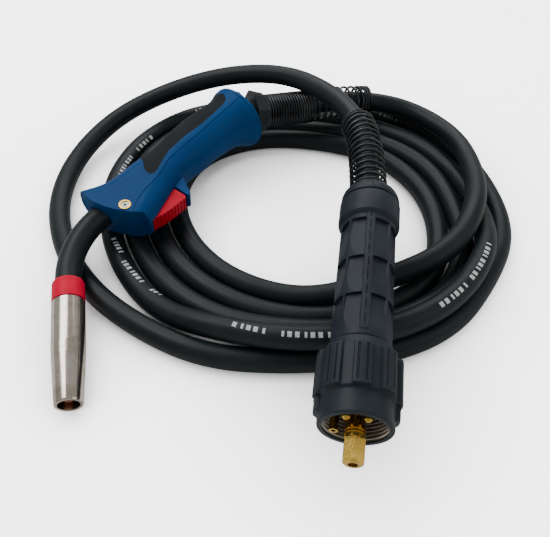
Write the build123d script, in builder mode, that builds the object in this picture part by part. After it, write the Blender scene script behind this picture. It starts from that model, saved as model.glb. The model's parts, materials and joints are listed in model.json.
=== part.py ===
from build123d import *
from math import sin, cos, tan, radians, degrees, pi, sqrt
import os

os.makedirs("parts", exist_ok=True)

# ---------------------------------------------------------------------------
# MIG/MAG welding torch with its cable and central (euro type) plug, laid down
# as a loose coil: the torch rests on the coil, the plug rests across it.
# Millimetres, +Z up, +X to the right and +Y away from the operator.
# Origin: middle of the torch's own box (handle, neck, nozzle and the spring at
# its tail), on the surface that everything lies on.
# ---------------------------------------------------------------------------

# driving sizes -------------------------------------------------------------
CABLE_OD = 15.0          # coaxial torch cable, 25-35 mm2 class
NECK_OD = 16.2           # insulated swan neck
NECK_BEND = 49.7         # degrees between handle and nozzle
NECK_RADIUS = 68.0       # bend radius of the neck's centre line
NOZZLE_LENGTH = 67.4
NOZZLE_REAR_OD = 20.0
NOZZLE_MOUTH_OD = 16.2
NOZZLE_MOUTH_BORE = 12.6
SEAT_R = 8.3             # turned seat that the nozzle is pushed on
TIP_OD = 6.0             # M6 contact tip
WIRE_BORE = 1.2
HANDLE_SHELL = 2.6       # wall of the handle shells
INLAY = 1.2              # thickness of the soft grip inlay
TRIGGER_HALF_WIDTH = 5.6
PLUNGER_R = 1.5
HOUSING_OD = 32.6        # plug housing
HOUSING_WALL = 2.6
FLARE_OD = 36.8
WHEEL_COLLAR_OD = 38.0
WHEEL_GRIP_OD = 45.0
COLLAR_BORE_R = 16.2     # clear opening of the hand wheel's mouth
THREAD_CREST_R = 15.9    # crests of the metal thread insert
SPIGOT_R = 4.9
NUT_FLATS = 10.0         # liner nut, across flats
SPRING_WIRE = 1.9
SPRING_MEAN_R = 11.1     # support spring at the plug
FIT = 0.05               # radial clearance of running fits

# frames, all in the model's own frame --------------------------------------
TORCH = Plane(origin=(-0.16, 93.14, 42.85), x_dir=(0.628602, 0.772302, 0.0917), z_dir=(0.056452, -0.162906, 0.985025))        # +x to the tail, +y to the palm side, +z out of the upper side face
NOZ_O = (-95.406, -82.015, 19.341)
NOZ_D = (0.18501, -0.967805, -0.170661)
NOZZLE = Plane(origin=NOZ_O, x_dir=(0.056452, -0.162906, 0.985025), z_dir=NOZ_D)      # +z to the mouth
TAIL = Plane(origin=(1.097, 94.685, 43.033), x_dir=(0.168451, -0.117744, 0.978652), z_dir=(0.917645, 0.381268, -0.112079))          # swivel centre, +z along the cable
PLUG = Plane(origin=(67.04, -198.76, 37.7), x_dir=(-0.000198, -0.121733, 0.992563), z_dir=(0.13878, 0.982955, 0.120582))          # tip of the liner nut, +z to the cable end
RELIEF = Plane(origin=(91.812, -23.303, 59.224), x_dir=(0.001707, -0.039905, 0.999202), z_dir=(0.023141, 0.998937, 0.039855))        # back of the plug, +z along the support spring


def finish(part, name, frame=None):
    """Puts a piece in its place, names it and writes it."""
    placed = part if frame is None else part.moved(frame.location)
    placed.label = name
    export_step(placed, "parts/" + name + ".step")
    return placed


# ---------------------------------------------------------------------------
# Front end: nozzle, contact tip and what holds them (frame NOZZLE)
# ---------------------------------------------------------------------------
with BuildPart() as gas_nozzle:
    with BuildSketch(Plane.XZ):
        with BuildLine():
            Polyline(
                (SEAT_R + FIT, 0.0), (NOZZLE_REAR_OD / 2 - 0.4, 0.0), (NOZZLE_REAR_OD / 2, 0.5),
                (NOZZLE_REAR_OD / 2, 30.0), (9.75, 38.0), (NOZZLE_MOUTH_OD / 2, NOZZLE_LENGTH - 1.0),
                (NOZZLE_MOUTH_OD / 2 - 0.25, NOZZLE_LENGTH), (NOZZLE_MOUTH_BORE / 2, NOZZLE_LENGTH),
                (NOZZLE_MOUTH_BORE / 2, NOZZLE_LENGTH - 12.0), (8.6, 36.0), (8.6, 18.0),
                (SEAT_R + FIT, 17.0), close=True)
        make_face()
    revolve(axis=Axis.Z)
finish(gas_nozzle.part, "gas_nozzle", NOZZLE)

with BuildPart() as nozzle_insulator:
    with BuildSketch(Plane.XZ):
        with BuildLine():
            Polyline((SEAT_R + 0.35, -14.5), (9.3, -14.5), (9.9, -13.4), (10.1, -0.4), (SEAT_R + 0.35, -0.4), close=True)
        make_face()
    revolve(axis=Axis.Z)
finish(nozzle_insulator.part, "nozzle_insulator", NOZZLE)

# seat: threaded on the neck's end, carries the nozzle, with a groove for the retaining ring
with BuildPart() as nozzle_seat:
    with BuildSketch(Plane.XZ):
        with BuildLine():
            Polyline(
                (6.35, -14.0), (SEAT_R + 0.3, -14.0), (SEAT_R + 0.3, -0.5), (SEAT_R, -0.5), (SEAT_R, 6.0), (7.2, 6.0),
                (7.2, 8.2), (SEAT_R, 8.2), (SEAT_R, 14.0), (6.35, 14.0), close=True)
        make_face()
    revolve(axis=Axis.Z)
finish(nozzle_seat.part, "nozzle_seat", NOZZLE)

# split ring of spring wire in the seat's groove
with BuildPart() as nozzle_retaining_ring:
    with BuildSketch(Plane.XZ):
        with Locations((7.72, 7.1)):
            Circle(0.48)
    revolve(axis=Axis.Z, revolution_arc=330)
finish(nozzle_retaining_ring.part, "nozzle_retaining_ring", NOZZLE)

# gas diffuser: ceramic sleeve with a ring of gas holes
with BuildPart() as gas_diffuser:
    with BuildSketch(Plane.XY.offset(14.2)):
        Circle(7.2)
        Circle(4.85, mode=Mode.SUBTRACT)
    extrude(amount=18)
    with BuildSketch(Plane.YZ) as holes:
        with Locations((0, 26.5)):
            Circle(1.0)
    extrude(amount=9, both=True, mode=Mode.SUBTRACT)
    with BuildSketch(Plane.XZ):
        with Locations((0, 26.5)):
            Circle(1.0)
    extrude(amount=9, both=True, mode=Mode.SUBTRACT)
finish(gas_diffuser.part, "gas_diffuser", NOZZLE)

with BuildPart() as tip_holder:
    with BuildSketch(Plane.XZ):
        with BuildLine():
            Polyline((2.6, 2.0), (4.7, 2.0), (4.7, 33.5), (5.6, 33.5), (5.6, 38.0), (2.6, 38.0), close=True)
        make_face()
    revolve(axis=Axis.Z)
    with BuildSketch(Plane.XY.offset(34.5)):
        Rectangle(14, 14)
        Rectangle(10.0, 14, mode=Mode.SUBTRACT)
    extrude(amount=4, mode=Mode.SUBTRACT)
finish(tip_holder.part, "tip_holder", NOZZLE)

with BuildPart() as contact_tip:
    with BuildSketch(Plane.XZ):
        with BuildLine():
            Polyline(
                (WIRE_BORE / 2, 32.0), (2.55, 32.0), (2.55, 38.2), (TIP_OD / 2, 38.2), (TIP_OD / 2, 60.5),
                (2.1, 64.6), (WIRE_BORE / 2, 64.6), close=True)
        make_face()
    revolve(axis=Axis.Z)
    with BuildSketch(Plane.XY.offset(50)):
        Rectangle(10, 10)
        Rectangle(5.1, 10, mode=Mode.SUBTRACT)
    extrude(amount=6, mode=Mode.SUBTRACT)
finish(contact_tip.part, "contact_tip", NOZZLE)

# ---------------------------------------------------------------------------
# Swan neck (frame TORCH, centre line in its z = 0 plane)
# ---------------------------------------------------------------------------
NB = radians(NECK_BEND)
ARC_IN = (-134.34, 0.0)                                   # where the bend starts
ARC_OUT = (ARC_IN[0] - NECK_RADIUS * sin(NB), -NECK_RADIUS * (1 - cos(NB)))
FRONT = (-cos(NB), -sin(NB))                             # direction of the nozzle


def along(point, d):
    return (point[0] + FRONT[0] * d, point[1] + FRONT[1] * d)


NECK_END = 17.155                                     # from the bend's end to the nozzle frame's origin
with BuildPart() as neck_tube:
    with BuildLine() as neck_line:
        Line((-84, 0, 0), (ARC_IN[0], 0, 0))
        RadiusArc((ARC_IN[0], 0, 0), (ARC_OUT[0], ARC_OUT[1], 0), -NECK_RADIUS)
        Line((ARC_OUT[0], ARC_OUT[1], 0), (*along(ARC_OUT, NECK_END + 1.8), 0))
    with BuildSketch(Plane(origin=(-84, 0, 0), x_dir=(0, 1, 0), z_dir=(-1, 0, 0))):
        Circle(5.9)
        Circle(2.6, mode=Mode.SUBTRACT)
    sweep(path=neck_line.wires()[0])
finish(neck_tube.part, "neck_tube", TORCH)

with BuildPart() as neck_sleeve:
    with BuildLine() as sleeve_line:
        Line((-118, 0, 0), (ARC_IN[0], 0, 0))
        RadiusArc((ARC_IN[0], 0, 0), (ARC_OUT[0], ARC_OUT[1], 0), -NECK_RADIUS)
        Line((ARC_OUT[0], ARC_OUT[1], 0), (*along(ARC_OUT, NECK_END - 14.8), 0))
    with BuildSketch(Plane(origin=(-118, 0, 0), x_dir=(0, 1, 0), z_dir=(-1, 0, 0))):
        Circle(NECK_OD / 2)
        Circle(6.2, mode=Mode.SUBTRACT)
    sweep(path=sleeve_line.wires()[0])
finish(neck_sleeve.part, "neck_sleeve", TORCH)

# union nut that joins the cable's end fitting to the neck, inside the handle
with BuildPart() as neck_union_nut:
    with BuildSketch(Plane(origin=(-88, 0, 0), x_dir=(0, 1, 0), z_dir=(1, 0, 0))):
        RegularPolygon(8.5, 6, major_radius=False)
        Circle(5.95, mode=Mode.SUBTRACT)
    extrude(amount=14)
finish(neck_union_nut.part, "neck_union_nut", TORCH)

with BuildPart() as cable_end_fitting:
    with BuildSketch(Plane(origin=(-83.7, 0, 0), x_dir=(0, 1, 0), z_dir=(1, 0, 0))):
        Circle(5.9)
        Circle(2.6, mode=Mode.SUBTRACT)
    extrude(amount=13.7)
    with BuildSketch(Plane(origin=(-70, 0, 0), x_dir=(0, 1, 0), z_dir=(1, 0, 0))):
        Circle(8.6)
        Circle(2.6, mode=Mode.SUBTRACT)
    extrude(amount=8)
    with BuildSketch(Plane(origin=(-62, 0, 0), x_dir=(0, 1, 0), z_dir=(1, 0, 0))):
        Circle(8.6)
        Circle(7.55, mode=Mode.SUBTRACT)
    extrude(amount=10)
finish(cable_end_fitting.part, "cable_end_fitting", TORCH)

# ---------------------------------------------------------------------------
# Handle (frame TORCH): two shells parted along the side, soft inlay in the palm
# Each station: x, palm-side y, trigger-side y, half width, corner radius, middle z
# ---------------------------------------------------------------------------
STATIONS = [
    (1.0, 22.2, -26.4, 23.4, 23.1, -0.4),
    (-5.0, 20.9, -25.4, 22.4, 22.1, -0.2),
    (-11.0, 19.0, -21.2, 20.2, 19.4, 0.0),
    (-20.0, 18.8, -18.2, 18.7, 17.6, 0.0),
    (-33.0, 20.0, -17.4, 17.6, 16.8, 0.0),
    (-46.0, 19.6, -17.4, 17.0, 16.2, 0.0),
    (-61.0, 17.6, -17.8, 16.6, 15.8, 0.0),
    (-77.0, 15.0, -19.2, 16.3, 14.8, 0.0),
    (-91.0, 14.9, -23.6, 16.0, 14.2, 0.0),
    (-105.0, 14.4, -28.4, 15.3, 13.4, 0.3),
    (-118.0, 14.0, -32.6, 14.0, 11.8, 1.2),
    (-130.0, 17.6, -34.6, 12.9, 10.8, 1.9),
    (-143.0, 21.4, -35.2, 12.2, 10.2, 2.1),
]
SEAM = [(30.0, -6.6), (1.4, -6.0), (-17.0, -4.2), (-32.0, -4.6), (-48.3, -5.8), (-61.7, -5.9), (-78.1, -7.5), (-90.7, -11.9), (-100.9, -14.5), (-109.1, -15.4), (-119.2, -18.1), (-127.2, -22.6), (-150.0, -31.0)]
FRONT_CUT = [(-135.6, 40.0), (-136.6, 17.0), (-138.8, 9.0), (-139.0, 3.3), (-137.4, -4.5), (-134.2, -12.5), (-128.6, -22.8), (-123.2, -28.0), (-122.0, -50.0)]
INLAY_EDGE = [(-5.0, 40.0), (-5.4, 6.0), (-9.0, 1.4), (-14.0, 0.1), (-35.7, -0.8), (-56.0, -0.5), (-72.6, -1.9), (-80.7, -4.6), (-91.6, -9.0), (-94.0, -9.5), (-96.4, -9.0), (-97.6, -7.0), (-97.4, -3.4), (-95.3, 0.5), (-92.1, 4.2), (-89.6, 10.0), (-88.6, 40.0)]


def handle_body(inset):
    """Outer form of the handle, moved inwards by inset."""
    with BuildPart() as body:
        for x, top, low, half, corner, mid in STATIONS:
            with BuildSketch(Plane(origin=(x, (top + low) / 2, mid), x_dir=(0, 1, 0), z_dir=(-1, 0, 0))):
                RectangleRounded(top - low - 2 * inset, 2 * half - 2 * inset, corner - inset)
        loft()
    return body.part


def prism(points, half=40.0, low=None):
    """Closed outline in the TORCH x-y plane, carried through the handle's width."""
    with BuildPart() as block:
        with BuildSketch(Plane.XY.offset(-half if low is None else low)):
            with BuildLine():
                Polyline(*points, close=True)
            make_face()
        extrude(amount=2 * half if low is None else half - low)
    return block.part


OUTER = handle_body(0.0)
UNDER_INLAY = handle_body(INLAY)
INNER = handle_body(HANDLE_SHELL)
FRONT_REGION = prism(FRONT_CUT + [(60.0, -50.0), (60.0, 40.0)])
INNER_FRONT = prism([(x + 2.6, y) for x, y in FRONT_CUT] + [(60.0, -50.0), (60.0, 40.0)])
PALM_SIDE = prism(SEAM + [(-150.0, 60.0), (30.0, 60.0)])
TRIGGER_SIDE = prism(SEAM + [(-150.0, -60.0), (30.0, -60.0)])
INLAY_REGION = prism(INLAY_EDGE)
GUARD = prism([(-88.4, -19.0), (-88.4, -33.2), (-87.2, -34.6), (-85.2, -33.4), (-78.5, -20.0)], half=6.2)
SOLID_FRONT = OUTER & FRONT_REGION
HOLLOW = INNER & INNER_FRONT

SCREW_AT = (-127.4, -15.2)                               # clamp screw through the hood, below the neck
PIVOT = (-116.6, -26.2)                                  # trigger pivot
with BuildPart() as bores:                               # everything that is cut out of the shells
    with BuildSketch(Plane(origin=(-112, 0, 0), x_dir=(0, 1, 0), z_dir=(-1, 0, 0))):
        Circle(NECK_OD / 2 + 0.35)                       # the neck leaves through the hood
    extrude(amount=40)
    with BuildSketch(Plane.XY.offset(-30)):              # clamp screw
        with Locations(SCREW_AT):
            Circle(2.05)
    extrude(amount=60)
    with BuildSketch(Plane.XY.offset(-10.3)):            # blind seats of the trigger pin
        with Locations(PIVOT):
            Circle(1.55)
    extrude(amount=22.6)
    for face, way in ((11.6, 1), (-7.9, -1)):            # eyelet seats in both side faces
        with BuildSketch(Plane.XY.offset(face)):
            with Locations(SCREW_AT):
                Circle(4.1)
        extrude(amount=way * 20)
    with BuildSketch(Plane.XY.offset(-TRIGGER_HALF_WIDTH - 0.6)):
        with BuildLine():                                # well of the trigger
            Polyline((-121.0, -60.0), (-121.0, -22.5), (-114.0, -20.0), (-108.2, -14.5), (-89.0, -14.5), (-89.0, -60.0), close=True)
        make_face()
    extrude(amount=2 * TRIGGER_HALF_WIDTH + 1.2)
    with BuildSketch(Plane(origin=(-3.0, 0, 0), x_dir=(0, 1, 0), z_dir=(1, 0, 0))):
        Circle(19.0)                                     # mouth that takes the rear collar
    extrude(amount=10)

with BuildPart() as bosses:                              # webs inside the shells that hold the neck and the screw
    with BuildSketch(Plane.XY.offset(-13.4)):
        with Locations(SCREW_AT):
            Circle(4.6)
    extrude(amount=26.8)
    with BuildSketch(Plane.XY.offset(-20)):              # shelf that the switch sits under
        with Locations((-98.5, -8.8)):
            Rectangle(15, 4.4)
    extrude(amount=40)
    with BuildSketch(Plane(origin=(-109.5, 0, 0), x_dir=(0, 1, 0), z_dir=(-1, 0, 0))):
        Rectangle(70, 40)
        Circle(6.05, mode=Mode.SUBTRACT)
    extrude(amount=3)



def groove(points, width):
    """Narrow closed band along an open line in the TORCH x-y plane."""
    left = [(x, y + width / 2) for x, y in points]
    right = [(x, y - width / 2) for x, y in reversed(points)]
    return prism(left + right)


SKIN = OUTER - handle_body(0.5)                          # outer half millimetre, for the lines cut in it
LINES = SKIN & groove(SEAM, 0.5)                         # parting line of the shells
with BuildPart() as rim_line:                            # line round the tail end
    with BuildSketch(Plane(origin=(-1.6, 0, 0), x_dir=(0, 1, 0), z_dir=(-1, 0, 0))):
        Rectangle(80, 80)
    extrude(amount=0.45)
LINES = LINES + (SKIN & rim_line.part)

SHELL = (SOLID_FRONT - HOLLOW) + (GUARD - HOLLOW)
SHELL = SHELL + ((bosses.part & HOLLOW) & FRONT_REGION)
SHELL = SHELL - bores.part

with BuildPart() as handle_palm_shell:
    add(SHELL & PALM_SIDE)
    add(LINES, mode=Mode.SUBTRACT)
    add((OUTER - UNDER_INLAY) & INLAY_REGION, mode=Mode.SUBTRACT)
finish(handle_palm_shell.part, "handle_palm_shell", TORCH)

with BuildPart() as handle_trigger_shell:
    add(SHELL & TRIGGER_SIDE)
    add(LINES, mode=Mode.SUBTRACT)
finish(handle_trigger_shell.part, "handle_trigger_shell", TORCH)

with BuildPart() as grip_inlay:
    add(((OUTER - UNDER_INLAY) & INLAY_REGION) & PALM_SIDE)
finish(grip_inlay.part, "grip_inlay", TORCH)

# eyelets (one in each side face), clamp screw and its nut
with BuildPart() as clamp_eyelets:
    for face, way in ((11.7, 1), (-8.0, -1)):
        with BuildSketch(Plane.XY.offset(face)):
            with Locations(SCREW_AT):
                Circle(3.95)
                Circle(2.95, mode=Mode.SUBTRACT)
        extrude(amount=way * 3.7)
finish(clamp_eyelets.part, "clamp_eyelets", TORCH)

with BuildPart() as clamp_screw:
    with BuildSketch(Plane.XY.offset(-11.0)):
        with Locations(SCREW_AT):
            Circle(2.0)
    extrude(amount=23.4)
    with BuildSketch(Plane.XY.offset(12.4)):
        with Locations(SCREW_AT):
            Circle(2.85)
    extrude(amount=2.4)
    with BuildSketch(Plane.XY.offset(13.7)):
        with Locations(SCREW_AT):
            RegularPolygon(1.25, 6)
    extrude(amount=2, mode=Mode.SUBTRACT)
finish(clamp_screw.part, "clamp_screw", TORCH)

with BuildPart() as clamp_nut:
    with BuildSketch(Plane.XY.offset(-10.9)):
        with Locations(SCREW_AT):
            RegularPolygon(2.5, 6, major_radius=False)
            Circle(2.03, mode=Mode.SUBTRACT)
    extrude(amount=2.2)
finish(clamp_nut.part, "clamp_nut", TORCH)

# trigger: ribbed face outside, boss on the pivot pin at its front end
with BuildPart() as trigger:
    with BuildSketch(Plane.XY.offset(-TRIGGER_HALF_WIDTH)):
        with BuildLine():
            Polyline(
                (-120.2, -24.0), (-118.4, -22.6), (-114.4, -22.6), (-104.0, -21.8), (-96.0, -21.6), (-90.0, -23.0),
                (-89.4, -32.8), (-91.0, -34.4), (-101.0, -34.4), (-112.0, -33.6), (-119.4, -31.8), close=True)
        make_face()
        with Locations(PIVOT):
            Circle(1.5 + FIT, mode=Mode.SUBTRACT)
    extrude(amount=2 * TRIGGER_HALF_WIDTH)
    with BuildSketch(Plane.XY.offset(2.4)):
        with Locations(PIVOT):
            Circle(3.4)
    extrude(amount=TRIGGER_HALF_WIDTH - 2.4, mode=Mode.SUBTRACT)
    with BuildSketch(Plane.XY.offset(-TRIGGER_HALF_WIDTH)):
        for k, y in enumerate((-33.0, -33.7, -34.4, -34.6, -34.8, -34.95, -35.0, -35.0, -35.0)):
            with Locations((-117.0 + 3.0 * k, y)):
                Circle(1.15)
    extrude(amount=2 * TRIGGER_HALF_WIDTH, mode=Mode.SUBTRACT)
finish(trigger.part, "trigger", TORCH)

with BuildPart() as trigger_pin:
    with BuildSketch(Plane.XY.offset(-10.2)):
        with Locations(PIVOT):
            Circle(1.5)
    extrude(amount=22.4)
finish(trigger_pin.part, "trigger_pin", TORCH)

# torsion spring beside the trigger's boss, on the pin
with BuildPart() as trigger_spring:
    with BuildSketch(Plane.XY.offset(2.8)):
        with Locations(PIVOT):
            Circle(2.9)
            Circle(1.9, mode=Mode.SUBTRACT)
    extrude(amount=2.4)
finish(trigger_spring.part, "trigger_spring", TORCH)

with BuildPart() as switch_body:
    with BuildSketch(Plane.XY.offset(-5)):
        with Locations((-98.4, -14.6)):
            Rectangle(16, 7)
    extrude(amount=10)
    with BuildSketch(Plane.XZ.offset(18.4)):
        with Locations((-95.0, 0)):
            Circle(PLUNGER_R + FIT)
    extrude(amount=-3.6, mode=Mode.SUBTRACT)
finish(switch_body.part, "switch_body", TORCH)

with BuildPart() as switch_plunger:
    with BuildSketch(Plane.XZ.offset(21.2)):
        with Locations((-95.0, 0)):
            Circle(PLUNGER_R)
    extrude(amount=-4.3)
finish(switch_plunger.part, "switch_plunger", TORCH)

# two control leads from the switch to the cable
with BuildPart() as switch_leads:
    for side in (-2.2, 2.2):
        with BuildSketch(Plane(origin=(-90.3, -12.6, side), x_dir=(0, 1, 0), z_dir=(1, 0, 0))):
            Circle(1.1)
        extrude(amount=40)
finish(switch_leads.part, "switch_leads", TORCH)

# ---------------------------------------------------------------------------
# Tail of the handle: collar in the mouth, swivel sleeve, support spring
# ---------------------------------------------------------------------------
with BuildPart() as rear_collar:
    with BuildSketch(Plane(origin=(-2.8, 0, 0), x_dir=(0, 1, 0), z_dir=(1, 0, 0))):
        Circle(18.95)
    extrude(amount=4.0)
    with BuildSketch(Plane(origin=(1.2, 0, 0), x_dir=(0, 1, 0), z_dir=(1, 0, 0))):
        RegularPolygon(21.8, 8)
    with BuildSketch(Plane(origin=(4.6, 0, 0), x_dir=(0, 1, 0), z_dir=(1, 0, 0))):
        RegularPolygon(20.4, 8)
    loft()
    with Locations((2.0, 0, 0)):
        Sphere(14.0, mode=Mode.SUBTRACT)
    with BuildSketch(Plane(origin=(2.0, 0, 0), x_dir=(0, 1, 0), z_dir=(1, 0, 0))):
        Circle(13.9)
    with BuildSketch(Plane(origin=(9.0, 0, 0), x_dir=(0, 1, 0), z_dir=(1, 0, 0))):
        Circle(17.2)
    loft(mode=Mode.SUBTRACT)
finish(rear_collar.part, "rear_collar", TORCH)

# ball joint and the eight-sided sleeve that takes the spring (frame TAIL)
with BuildPart() as swivel_sleeve:
    with BuildSketch(Plane.XZ):
        with BuildLine():
            outer = [(13.9 * cos(radians(a)), 13.9 * sin(radians(a))) for a in range(-21, 46, 3)]
            Polyline((12.3, -4.9), (9.8, 1.0), (9.6, 3.0), (8.9, 5.0), (8.8, 12.1), (8.4, 12.1), (8.4, 23.0), (9.9, 23.0), *outer[::-1], close=True)
        make_face()
    revolve(axis=Axis.Z)
    with BuildSketch(Plane.XY.offset(12.4)):
        RegularPolygon(17.6, 8)
        Circle(8.4, mode=Mode.SUBTRACT)
    with BuildSketch(Plane.XY.offset(23.0)):
        RegularPolygon(14.4, 8)
        Circle(8.4, mode=Mode.SUBTRACT)
    loft()
finish(swivel_sleeve.part, "swivel_sleeve", TAIL)

# piece of cable inside the handle, from its end fitting to the swivel
BALL = (2.0, 0, 0)
TAIL_D = (0.847633, -0.518298, -0.113512)
with BuildPart() as cable_handle_end:
    with BuildLine() as inner_line:
        FilletPolyline(
            (-61.8, 0, 0), BALL, (BALL[0] + TAIL_D[0] * 12.0, BALL[1] + TAIL_D[1] * 12.0, BALL[2] + TAIL_D[2] * 12.0),
            radius=38.0)
    with BuildSketch(Plane(origin=(-61.8, 0, 0), x_dir=(0, 1, 0), z_dir=(BALL[0] + 61.8, BALL[1], BALL[2]))):
        Circle(CABLE_OD / 2)
    sweep(path=inner_line.wires()[0])
finish(cable_handle_end.part, "cable_handle_end", TORCH)


def coil_spring(spans, mean_r, wire):
    """Coil of round wire about Z; spans are (base, top, pitch) with whole turns in each."""
    with BuildPart() as spring:
        for base, top, pitch in spans:
            with BuildLine() as helix:
                Helix(pitch=pitch, height=top - base, radius=mean_r, center=(0, 0, base))
            with BuildSketch(Plane(origin=helix.line @ 0, z_dir=helix.line % 0)):
                Circle(wire / 2)
            sweep(path=helix.line, is_frenet=True)
    return spring.part


finish(coil_spring([(24.2, 24.2 + 16 * 2.3, 2.3), (61.0, 61.0 + 8 * 6.5, 6.5)], 12.0, SPRING_WIRE), "handle_spring", TAIL)

# ---------------------------------------------------------------------------
# Cable: runs joined by tangent arcs, five turns lying in the coil, then one
# free loop over the back to the plug
# ---------------------------------------------------------------------------
ROUTE = [
    (12.239, 98.943, 41.716),
    (42.953, 110.683, 38.085),
    (86.52, 136.238, 32.647),
    (138.315, 140.908, 24.161),
    (174.582, 100.637, 22.319),
    (180.078, 49.892, 25.05),
    (171.553, 0.33, 30.117),
    (145.388, -44.982, 27.997),
    (97.866, -62.433, 17.577),
    (48.856, -70.466, 7.5),
    (-0.078, -51.688, 8.342),
    (-32.21, -11.798, 7.5),
    (-45.753, 37.754, 7.651),
    (-31.029, 88.189, 7.5),
    (14.217, 115.509, 7.541),
    (65.294, 112.734, 7.608),
    (113.29, 94.246, 7.505),
    (142.674, 51.12, 7.726),
    (149.146, 0.707, 7.984),
    (136.368, -49.744, 7.5),
    (94.204, -80.705, 7.502),
    (43.029, -86.486, 7.5),
    (-4.73, -67.278, 7.5),
    (-40.554, -30.654, 7.5),
    (-58.642, 17.098, 7.5),
    (-61.231, 68.207, 7.5),
    (-35.351, 114.073, 7.501),
    (13.743, 131.693, 7.5),
    (64.328, 129.042, 7.5),
    (113.049, 114.053, 7.506),
    (151.039, 78.521, 7.507),
    (163.247, 28.669, 7.52),
    (163.719, -22.129, 7.5),
    (140.961, -68.79, 9.834),
    (96.918, -95.596, 11.865),
    (46.029, -101.696, 14.576),
    (-2.723, -87.047, 8.667),
    (-42.713, -55.036, 7.5),
    (-67.617, -10.5, 7.716),
    (-78.152, 39.256, 7.5),
    (-71.772, 90.158, 7.577),
    (-39.813, 131.4, 7.501),
    (9.358, 147.218, 7.5),
    (59.917, 146.244, 7.573),
    (109.745, 135.797, 7.5),
    (151.84, 106.031, 8.024),
    (174.777, 59.976, 7.5),
    (180.076, 9.724, 12.888),
    (170.824, -39.51, 23.543),
    (141.511, -81.896, 22.516),
    (97.375, -107.909, 23.301),
    (46.558, -114.503, 24.061),
    (-2.634, -102.223, 18.736),
    (-45.35, -76.46, 7.5),
    (-74.86, -34.34, 8.346),
    (-91.061, 13.625, 7.5),
    (-93.602, 64.603, 7.638),
    (-78.648, 113.396, 7.5),
    (-43.876, 151.929, 7.525),
    (6.188, 164.463, 7.5),
    (56.675, 162.149, 7.503),
    (106.833, 156.505, 7.5),
    (154.565, 136.62, 7.501),
    (182.082, 92.643, 7.5),
    (194.254, 43.741, 7.5),
    (193.569, -7.709, 7.5),
    (169.713, -52.755, 7.5),
    (137.99, -92.723, 7.501),
    (90.454, -112.822, 7.5),
    (40.265, -117.601, 7.504),
    (-10.759, -113.971, 7.5),
    (-55.648, -89.65, 7.527),
    (-93.446, -55.741, 7.5),
    (-119.455, -12.011, 7.735),
    (-132.813, 37.215, 7.5),
    (-127.096, 87.902, 11.497),
    (-101.017, 131.745, 19.819),
    (-56.111, 154.41, 31.653),
    (-6.424, 154.694, 45.338),
    (41.05, 135.338, 55.935),
    (74.246, 96.739, 59.836),
    (91.709, 50.718, 62.492),
    (92.641, 1.737, 60.829),
    (88.551, -46.402, 56.39),
]
SPLIT = 66                                            # run on which the coil ends and the free loop starts


def corner_radii(points):
    radii = []
    for before, here, after in zip(points, points[1:], points[2:]):
        a, b = Vector(*before) - Vector(*here), Vector(*after) - Vector(*here)
        turn = 180.0 - a.get_angle(b)
        radii.append(0.45 * min(a.length, b.length) / tan(radians(turn) / 2))
    return radii


def middle(a, b):
    return tuple((p + q) / 2 for p, q in zip(a, b))


def tube(points, name, radii):
    with BuildPart() as cord:
        with BuildLine() as path:
            FilletPolyline(*points, radius=radii)
        wire = path.wires()[0]
        start = Vector(*points[0])
        with BuildSketch(Plane(origin=start, z_dir=Vector(*points[1]) - start)):
            Circle(CABLE_OD / 2)
        sweep(path=wire)
    volume = cord.part.volume
    print(name, "length", round(wire.length, 1), "volume / (section x length)", round(volume / (pi * CABLE_OD**2 / 4 * wire.length), 5))
    finish(cord.part, name)
    return wire.length


RADII = corner_radii(ROUTE)
print("cable corner radii:", [round(r) for r in RADII])
HALFWAY = middle(ROUTE[SPLIT], ROUTE[SPLIT + 1])
length = tube(ROUTE[: SPLIT + 1] + [HALFWAY], "cable_coil", RADII[:SPLIT])
length += tube([HALFWAY] + ROUTE[SPLIT + 1:], "cable_free_loop", RADII[SPLIT:])
print("cable length", round(length, 1))

# ---------------------------------------------------------------------------
# Plug (frame PLUG): z = 0 at the liner nut's tip, z grows towards the cable
# ---------------------------------------------------------------------------
with BuildPart() as liner_nut:
    with BuildSketch():
        RegularPolygon(NUT_FLATS / 2, 6, major_radius=False)
    extrude(amount=12.2)
    with BuildSketch(Plane.XZ):                           # chamfer of the free end
        with BuildLine():
            Polyline((4.0, -0.1), (4.0, 0.0), (7.0, 2.2), (7.0, -0.1), close=True)
        make_face()
    revolve(axis=Axis.Z, mode=Mode.SUBTRACT)
    with BuildSketch():
        Circle(2.4)
    extrude(amount=3.0, mode=Mode.SUBTRACT)
    with BuildSketch(Plane.XY.offset(3.0)):
        Circle(3.75)
    extrude(amount=10, mode=Mode.SUBTRACT)
finish(liner_nut.part, "liner_nut", PLUG)

with BuildPart() as guide_spigot:
    with BuildSketch(Plane.XZ):
        with BuildLine():
            Polyline(
                (2.0, 5.2), (3.65, 5.2), (3.65, 12.5), (5.2, 12.5), (5.2, 14.4), (4.2, 14.4), (4.2, 15.2), (SPIGOT_R, 15.2),
                (SPIGOT_R, 16.0), (4.2, 16.0), (4.2, 16.8), (SPIGOT_R, 16.8), (SPIGOT_R, 23.0), (3.6, 23.0), (3.6, 25.2),
                (SPIGOT_R, 25.2), (SPIGOT_R, 28.0), (3.6, 28.0), (3.6, 30.2), (SPIGOT_R, 30.2), (6.4, 36.0), (6.4, 44.0), (2.0, 44.0), close=True)
        make_face()
    revolve(axis=Axis.Z)
finish(guide_spigot.part, "guide_spigot", PLUG)

with BuildPart() as spigot_o_rings:
    for z in (24.1, 29.1):
        with BuildSketch(Plane.XZ):
            with Locations((4.45, z)):
                Circle(0.8)
        revolve(axis=Axis.Z)
finish(spigot_o_rings.part, "spigot_o_rings", PLUG)

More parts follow.
